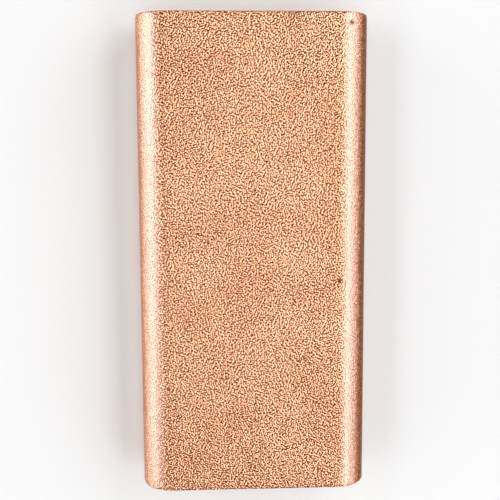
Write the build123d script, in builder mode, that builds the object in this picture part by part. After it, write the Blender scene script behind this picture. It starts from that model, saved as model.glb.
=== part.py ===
"""Copper ingot: a strand-cast copper bar with broad rounded long edges, sawn to length and blasted matt.

The ingot is one solid piece of metal. It lies on its back face, with X across it, Y along it and Z up,
and the origin is the middle of the face that it lies on.
"""

import os

from build123d import *

# Driving dimensions, in millimetres
length = 118.0  # from sawn end to sawn end
width = 57.0  # across the two long sides
thickness = 17.6  # from the back face to the front face
side_flat = 1.6  # height of the flat that is left between the two rounded edges of a long side
end_break = 0.4  # radius that deburring and blasting leave around each sawn end

# The casting die rounds the front and the back edge of a long side alike, on either side of the flat
edge_radius = (thickness - side_flat) / 2

# The strand leaves the die with one section all along it, and the saw cuts a length from it
with BuildPart() as ingot:
    with BuildSketch(Plane.XZ) as strand_section:
        Rectangle(width, thickness, align=(Align.CENTER, Align.MIN))
        fillet(strand_section.vertices(), radius=edge_radius)
    extrude(amount=length / 2, both=True)

    # The sharp rim of each cut is taken off all round
    sawn_ends = ingot.faces().filter_by(Axis.Y)
    fillet(sawn_ends.edges(), radius=end_break)

ingot.part.label = "ingot"
os.makedirs("parts", exist_ok=True)
export_step(ingot.part, "parts/ingot.step")

print(f"long edge radius {edge_radius:.2f} mm, volume {ingot.part.volume:.0f} mm3")
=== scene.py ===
"""Copper ingot on a pale studio floor, seen from above as it lies."""

import math

import bpy
import numpy as np
from mathutils import Euler, Matrix, Vector


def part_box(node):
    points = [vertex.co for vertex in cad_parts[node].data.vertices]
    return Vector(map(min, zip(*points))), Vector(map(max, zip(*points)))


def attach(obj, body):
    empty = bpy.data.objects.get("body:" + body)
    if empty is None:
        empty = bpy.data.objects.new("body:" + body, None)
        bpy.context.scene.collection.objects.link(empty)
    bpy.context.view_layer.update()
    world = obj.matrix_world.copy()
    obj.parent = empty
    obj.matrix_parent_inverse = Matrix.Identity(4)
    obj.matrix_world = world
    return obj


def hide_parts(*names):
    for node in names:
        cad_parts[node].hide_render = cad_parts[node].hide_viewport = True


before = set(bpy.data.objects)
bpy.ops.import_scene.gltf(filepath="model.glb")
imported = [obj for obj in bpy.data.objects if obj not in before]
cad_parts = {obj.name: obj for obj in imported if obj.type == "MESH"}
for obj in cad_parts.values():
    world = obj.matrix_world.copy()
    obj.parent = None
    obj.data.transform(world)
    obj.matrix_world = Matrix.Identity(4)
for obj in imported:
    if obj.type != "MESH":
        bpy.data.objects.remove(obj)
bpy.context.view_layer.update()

# The ingot is one bar of copper, cast as a strand through a die that rounds its long edges.
# It is sawn to length, the rims of the two cuts are broken, and grit blasting takes the shine
# off all over and leaves a fine, even relief of dents.
low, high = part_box("ingot")
middle = (low + high) / 2
extent = high - low
side_flat = 0.0016
edge_radius = (extent.z - side_flat) / 2
edge_steps = 24
end_break = 0.0004
break_steps = 3
round_profile = 0.5
end_facing = 0.7

bpy.ops.object.select_all(action="DESELECT")
bpy.ops.mesh.primitive_cube_add(size=1, location=middle, scale=extent)
bar = bpy.context.object
bar.name = "copper_bar"
bpy.ops.object.transform_apply(location=True, rotation=True, scale=True)

# The die's rounding runs along the four long edges
bpy.ops.object.mode_set(mode="EDIT")
bpy.ops.mesh.select_mode(type="EDGE")
bpy.ops.mesh.select_all(action="DESELECT")
bpy.ops.object.mode_set(mode="OBJECT")
for edge in bar.data.edges:
    start, end = (bar.data.vertices[i].co for i in edge.vertices)
    edge.select = abs(start.y - end.y) > extent.y / 2
bpy.ops.object.mode_set(mode="EDIT")
bpy.ops.mesh.bevel(offset=edge_radius, segments=edge_steps, profile=round_profile, affect="EDGES")

# The saw leaves square ends, and their rims are broken
bpy.ops.mesh.select_mode(type="FACE")
bpy.ops.mesh.select_all(action="DESELECT")
bpy.ops.object.mode_set(mode="OBJECT")
for face in bar.data.polygons:
    face.select = abs(face.normal.y) > end_facing
bpy.ops.object.mode_set(mode="EDIT")
bpy.ops.mesh.region_to_loop()
bpy.ops.mesh.bevel(offset=end_break, segments=break_steps, profile=round_profile, affect="EDGES")
bpy.ops.object.mode_set(mode="OBJECT")

# An even mesh all over carries the relief, which only sinks into the bar:
# broad waves from the casting and the larger blasted dents, each with its size and its depth
mesh_spacing = 0.00046
only_inward = 1.0
reliefs = (
    ("casting_waves", 0.016, 0.00004),
    ("blasted_dents", 0.0012, 0.00004),
)
remesh = bar.modifiers.new("even_mesh", "REMESH")
remesh.mode = "VOXEL"
remesh.voxel_size = mesh_spacing
bpy.ops.object.modifier_apply(modifier=remesh.name)
for name, size, depth in reliefs:
    texture = bpy.data.textures.new(name, "CLOUDS")
    texture.noise_scale = size
    texture.noise_depth = 1
    texture.noise_basis = "IMPROVED_PERLIN"
    relief = bar.modifiers.new(name, "DISPLACE")
    relief.texture = texture
    relief.texture_coords = "LOCAL"
    relief.strength = depth
    relief.mid_level = only_inward
    bpy.ops.object.modifier_apply(modifier=relief.name)

# Knocks on the rims of the cuts and single pits in the casting: place, radius and depth of each.
# A mark is the darker the steeper it is, all over its middle and less towards its edge.
marks = (
    ((0.0096, 0.0584, 0.0176), 0.0018, 0.00018),
    ((0.0238, 0.0563, 0.0169), 0.0009, 0.00026),
    ((0.0211, -0.0059, 0.0176), 0.0008, 0.00024),
    ((-0.0238, -0.0588, 0.0168), 0.0009, 0.00016),
    ((-0.0057, -0.0588, 0.0175), 0.0007, 0.00014),
    ((-0.0013, -0.0588, 0.0175), 0.0008, 0.00016),
    ((0.0183, -0.0588, 0.0175), 0.0007, 0.00014),
    ((0.0282, 0.0210, 0.0110), 0.0007, 0.00020),
    ((-0.0284, -0.0330, 0.0070), 0.0008, 0.00020),
    ((-0.0120, -0.0300, 0.0000), 0.0008, 0.00018),
    ((0.0090, 0.0410, 0.0000), 0.0007, 0.00020),
    ((-0.0160, 0.0588, 0.0002), 0.0012, 0.00018),
    ((0.0070, -0.0590, 0.0060), 0.0007, 0.00018),
)
dark_slope = 0.28
dark_spread = 1.6
bpy.ops.object.mode_set(mode="EDIT")
bpy.ops.mesh.select_mode(type="VERT")
hollow_depth = np.zeros(len(bar.data.vertices))
for spot, radius, depth in marks:
    bpy.ops.mesh.select_all(action="DESELECT")
    bpy.ops.object.mode_set(mode="OBJECT")
    points = np.empty(3 * len(bar.data.vertices))
    bar.data.vertices.foreach_get("co", points)
    away = np.linalg.norm(points.reshape(-1, 3) - spot, axis=1)
    darkness = min(1, depth / radius / dark_slope)
    nearness = np.clip(dark_spread - dark_spread * away / radius, 0, 1)
    hollow_depth = np.maximum(hollow_depth, darkness * nearness)
    centre = bar.data.vertices[int(away.argmin())]
    centre.select = True
    push = -centre.normal * depth
    bpy.ops.object.mode_set(mode="EDIT")
    bpy.ops.transform.translate(
        value=push, use_proportional_edit=True, proportional_edit_falloff="SMOOTH", proportional_size=radius)
bpy.ops.object.mode_set(mode="OBJECT")
bpy.ops.object.shade_smooth()
bar.data.attributes.new("hollow", "FLOAT", "POINT").data.foreach_set("value", hollow_depth)


# The bar is mapped at its real size, unrolled round its section, so that the grain is equally fine all over
def distance_round(point, side):
    """Way round the section from the middle of the front face to a point on the left (-1) or right (1)."""
    front_flat = extent.x / 2 - edge_radius
    half_round = front_flat + edge_radius * math.pi / 2 + side_flat / 2
    out = point.x * side - front_flat
    up = abs(point.z - middle.z) - side_flat / 2
    if out < 0:
        way = front_flat + out
    elif up > 0:
        way = front_flat + edge_radius * math.atan2(out, up)
    else:
        way = front_flat + edge_radius * math.pi / 2 - up
    return side * (way if point.z > middle.z else 2 * half_round - way)


grain_map = bar.data.uv_layers.new(name="grain_map")
for face in bar.data.polygons:
    on_sawn_end = abs(face.normal.y) > end_facing
    side = 1 if face.center.x > 0 else -1
    for corner, vertex in zip(face.loop_indices, face.vertices):
        point = bar.data.vertices[vertex].co
        if on_sawn_end:
            grain_map.data[corner].uv = (point.x, point.z)
        else:
            grain_map.data[corner].uv = (distance_round(point, side), point.y)

# Blasted copper: fine dents whose hollows are deep red brown and whose ridges are bright, with single
# darker pits. Handling has rubbed the rounded edges smoother; their paler tone is partly that wear and
# partly a painted highlight. A darker brown band along one long side is painted shade.
edge_tint = (0.96, 0.71, 0.57, 1)
copper = bpy.data.materials.new("blasted_copper")
copper.use_nodes = True
nodes, links = copper.node_tree.nodes, copper.node_tree.links
surface = nodes["Principled BSDF"]
surface.inputs["Metallic"].default_value = 1.0
surface.inputs["Specular Tint"].default_value = edge_tint


def add_node(kind, inputs, **settings):
    """Node of the copper's material, with its settings and with a value or a link for each input named."""
    added = nodes.new("ShaderNode" + kind)
    for name, setting in settings.items():
        setattr(added, name, setting)
    for name, value in inputs.items():
        if isinstance(value, bpy.types.NodeSocket):
            links.new(value, added.inputs[name])
        else:
            added.inputs[name].default_value = value
    return added


def add_ramp(factor, stops):
    """Colour ramp with the given positions and colours."""
    ramp = add_node("ValToRGB", {"Fac": factor})
    while len(ramp.color_ramp.elements) < len(stops):
        ramp.color_ramp.elements.new(1.0)
    for element, (position, colour) in zip(ramp.color_ramp.elements, stops):
        element.position = position
        element.color = colour
    return ramp.outputs["Color"]


def multiply(first, second):
    """Product of two values."""
    return add_node("Math", {0: first, 1: second}, operation="MULTIPLY").outputs["Value"]


def mix(factor, under, over, blend="MIX"):
    """Colour with another one laid over it."""
    laid = add_node("Mix", {"Factor": factor, "A": under, "B": over}, data_type="RGBA", blend_type=blend)
    return laid.outputs["Result"]


# The grain is noise made crisper: from each place, a part of what lies beside it is taken away.
# Its map starts away from the bar, because the noise shows a star round its own origin.
grain_scale = 2520
grain_turn = math.radians(26)
grain_shift = (0.31, 0.47, 0)
grain_crispness = 0.9
grain_contrast = 1.45
grain_middle = 0.5
grain_reach = 0.5 / grain_scale
grain_detail = 0.0
beside = ((grain_reach, 0, 0), (-grain_reach, 0, 0), (0, grain_reach, 0), (0, -grain_reach, 0))
shares = [((0, 0, 0), 1 + grain_crispness)]
shares += [(shift, -grain_crispness / len(beside)) for shift in beside]
unrolled = add_node("UVMap", {}, uv_map="grain_map").outputs["UV"]
turned = add_node("Mapping", {"Vector": unrolled, "Rotation": (0, 0, grain_turn), "Location": grain_shift})
grain_place = turned.outputs["Vector"]
grain = grain_middle * (1 - grain_contrast)
for shift, share in shares:
    shifted = add_node("VectorMath", {0: grain_place, 1: shift}).outputs["Vector"]
    dents = add_node("TexNoise", {"Vector": shifted, "Scale": grain_scale, "Detail": grain_detail},
                     noise_dimensions="2D").outputs["Fac"]
    grain = add_node("Math", {0: dents, 1: share * grain_contrast, 2: grain},
                     operation="MULTIPLY_ADD").outputs["Value"]

# Rubbed edges with their painted highlight, and the painted shade along the right long side, are bands along
# the bar, and both stop at the sawn ends.
# The rubbed zone gives places across the width with the share of rubbing and painted highlight there, set
# where the highlights of the rounded edges fall.
rubbed_and_highlight_zone = (
    (0.020, 0.5),
    (0.055, 1),
    (0.082, 1),
    (0.110, 0),
    (0.872, 0),
    (0.905, 1),
    (0.940, 1),
    (0.970, 0),
)
rubbed_and_highlight_stops = [(position, (rub, rub, rub, 1)) for position, rub in rubbed_and_highlight_zone]
# Painted shade: a darker band along the right long side, with an uneven inner border
painted_shade_width = 0.0038
painted_shade_fade = 0.0028
painted_shade_break = 0.0022
painted_shade_break_scale = 900
painted_shade_break_detail = 1.0
bar_place = add_node("TexCoord", {}).outputs["Object"]
place_parts = add_node("SeparateXYZ", {"Vector": bar_place})
sideways = place_parts.outputs["X"]
from_middle = add_node("Math", {0: place_parts.outputs["Y"]}, operation="ABSOLUTE").outputs["Value"]
on_strand = add_node("MapRange", {
    "Value": from_middle,
    "From Min": extent.y / 2 - end_break,
    "From Max": extent.y / 2 - end_break / 2,
    "To Min": 1.0,
    "To Max": 0.0,
}).outputs["Result"]
across_width = add_node("MapRange", {"Value": sideways, "From Min": low.x, "From Max": high.x})
rubbed_and_highlight = multiply(add_ramp(across_width.outputs["Result"], rubbed_and_highlight_stops), on_strand)
uneven = add_node("TexNoise", {
    "Vector": bar_place,
    "Scale": painted_shade_break_scale,
    "Detail": painted_shade_break_detail,
}).outputs["Fac"]
offset = add_node("MapRange", {"Value": uneven, "To Min": -painted_shade_break / 2, "To Max": painted_shade_break / 2})
painted_shade_place = add_node("Math", {0: sideways, 1: offset.outputs["Result"]}).outputs["Value"]
painted_shade_band = add_node("MapRange", {
    "Value": painted_shade_place,
    "From Min": extent.x / 2 - painted_shade_width,
    "From Max": extent.x / 2 - painted_shade_width + painted_shade_fade,
}, interpolation_type="SMOOTHSTEP").outputs["Result"]
painted_shade = multiply(painted_shade_band, on_strand)

# Relief and gloss: rubbing lowers the relief, and the ridges of the grain are smoother than its hollows
grain_slope = 0.22
rubbed_relief = 0.5
hollow_grain = 0.35
ridge_grain = 0.65
hollow_roughness = 0.25
ridge_roughness = 0.17
kept_relief = add_node("MapRange", {"Value": rubbed_and_highlight, "To Min": 1.0, "To Max": rubbed_relief})
height = multiply(grain, kept_relief.outputs["Result"])
bump = add_node("Bump", {"Height": height, "Distance": grain_slope / grain_scale})
links.new(bump.outputs["Normal"], surface.inputs["Normal"])
gloss = add_node("MapRange", {
    "Value": grain,
    "From Min": hollow_grain,
    "From Max": ridge_grain,
    "To Min": hollow_roughness,
    "To Max": ridge_roughness,
})
links.new(gloss.outputs["Result"], surface.inputs["Roughness"])

# Colour: grain with its pits, faint clouds of darker metal, rubbed edges paled partly as a painted
# highlight, painted shade along the right long side, dark hollows
grain_tones = (
    (0.315, (0.22, 0.003, 0.0003, 1)),
    (0.385, (0.80, 0.10, 0.008, 1)),
    (0.45, (1.0, 0.43, 0.155, 1)),
    (0.57, (1.0, 0.61, 0.345, 1)),
    (0.72, (1.0, 0.67, 0.45, 1)),
)
pit_scale = 2600
pit_tones = ((0.20, (0.10, 0.012, 0.002, 1)), (0.29, (1, 1, 1, 1)))
cloud_scale = 70
cloud_detail = 2.0
cloud_tones = ((0.35, (0.92, 0.88, 0.85, 1)), (0.58, (1, 1, 1, 1)))
# Paler tone on the rounded edges: partly rubbed wear, partly a painted highlight
rubbed_highlight_tone = (0.95, 0.55, 0.45, 1)
rubbed_highlight_cover = 0.6
# Painted shade tone, multiplied over the right long side
painted_shade_tone = (0.36, 0.22, 0.17, 1)
hollow_tone = (0.09, 0.022, 0.007, 1)
hollow_cover = 0.95
pits = add_node("TexNoise", {"Vector": grain_place, "Scale": pit_scale, "Detail": grain_detail},
                noise_dimensions="2D").outputs["Fac"]
clouds = add_node("TexNoise", {
    "Vector": bar_place,
    "Scale": cloud_scale,
    "Detail": cloud_detail,
}).outputs["Fac"]
hollow = add_node("Attribute", {}, attribute_name="hollow").outputs["Fac"]
colour = mix(1.0, add_ramp(grain, grain_tones), add_ramp(pits, pit_tones), blend="MULTIPLY")
colour = mix(1.0, colour, add_ramp(clouds, cloud_tones), blend="MULTIPLY")
# Paler copper on the rounded edges: rubbed wear and painted highlight
colour = mix(multiply(rubbed_and_highlight, rubbed_highlight_cover), colour, rubbed_highlight_tone)
# Painted shade darkens the right long side
colour = mix(painted_shade, colour, painted_shade_tone, blend="MULTIPLY")
colour = mix(multiply(hollow, hollow_cover), colour, hollow_tone)
links.new(colour, surface.inputs["Base Color"])
bar.data.materials.clear()
bar.data.materials.append(copper)

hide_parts("ingot")
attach(bar, "root")

# The floor is a plain pale sheet that the ingot lies on.
# It is painted matt, so that it shows only the ingot's soft shadow.
floor_size = 6.0
floor_tone = (0.84, 0.84, 0.84, 1)
bpy.ops.object.select_all(action="DESELECT")
bpy.ops.mesh.primitive_plane_add(size=floor_size, location=(0, 0, low.z))
floor = bpy.context.object
floor.name = "floor"
paint = bpy.data.materials.new("matt_floor")
paint.use_nodes = True
coat = paint.node_tree.nodes["Principled BSDF"]
coat.inputs["Base Color"].default_value = floor_tone
coat.inputs["Roughness"].default_value = 1.0
coat.inputs["Specular IOR Level"].default_value = 0.0
floor.data.materials.append(paint)

# Long softboxes stand around the ingot, in line with it, and each gives one band of its shading.
# The two low strips on the left give the bright line along the rounded edge there.
lamp_distance = 1.5


def softbox(name, across, along, radiance):
    """Area light that covers the given angles across and along, in degrees from straight above the ingot."""
    turn_across = math.radians(sum(across) / 2)
    turn_along = math.radians(sum(along) / 2)
    outward = Vector((math.sin(turn_across), math.tan(turn_along), math.cos(turn_across))).normalized()
    up = (Vector((0, 1, 0)) - outward * outward.y).normalized()
    light = bpy.data.lights.new(name, "AREA")
    light.shape = "RECTANGLE"
    light.size = 2 * lamp_distance * math.tan(math.radians((across[1] - across[0]) / 2))
    light.size_y = 2 * lamp_distance * math.tan(math.radians((along[1] - along[0]) / 2))
    light.energy = radiance * math.pi * light.size * light.size_y
    lamp = bpy.data.objects.new(name, light)
    lamp.location = middle + outward * lamp_distance
    lamp.rotation_mode = "QUATERNION"
    lamp.rotation_quaternion = Matrix((up.cross(outward), up, outward)).transposed().to_quaternion()
    bpy.context.scene.collection.objects.link(lamp)


softbox("left_strip_far", across=(-88, -76), along=(0, 28), radiance=6.2)
softbox("left_strip_near", across=(-88, -76), along=(-42, 0), radiance=4.4)
softbox("left_low_fill", across=(-76, -56), along=(-10, 35), radiance=1.2)
softbox("left_fill", across=(-50, -36), along=(-50, 45), radiance=2.1)
softbox("overhead", across=(-14, 13), along=(-65, 45), radiance=1.6)
softbox("right_overhead", across=(28, 43), along=(-50, 45), radiance=2.6)
softbox("right_strip_far", across=(43, 74), along=(0, 45), radiance=2.5)
softbox("right_strip_near", across=(43, 74), along=(-45, 0), radiance=1.7)

# The room around the lamps is dim and white.
# It only lifts what no lamp reaches.
room_tone = (1, 1, 1, 1)
room_strength = 0.1
world = bpy.data.worlds.new("studio")
bpy.context.scene.world = world
world.use_nodes = True
room = world.node_tree.nodes["Background"]
room.inputs["Color"].default_value = room_tone
room.inputs["Strength"].default_value = room_strength

# The camera looks down on the front face, a little turned to it, from about 0.2 m above.
# Its place is measured from the middle of the front face, along its own axes.
pitch, yaw, roll = math.radians(6.592), math.radians(2.460), math.radians(0.573)
from_face = Vector((-0.00101, 0.00198, 0.19616))
lens_length = 57.81
nearest = 0.01
face_centre = Vector((middle.x, middle.y, high.z))
turn = Euler((-pitch, -yaw, -roll), "ZYX")
camera = bpy.data.objects.new("camera", bpy.data.cameras.new("camera"))
camera.rotation_mode = "ZYX"
camera.rotation_euler = turn
camera.location = face_centre + turn.to_matrix() @ from_face
camera.data.lens = lens_length
camera.data.clip_start = nearest
bpy.context.scene.collection.objects.link(camera)
bpy.context.scene.camera = camera
bpy.context.scene.view_settings.view_transform = "Standard"
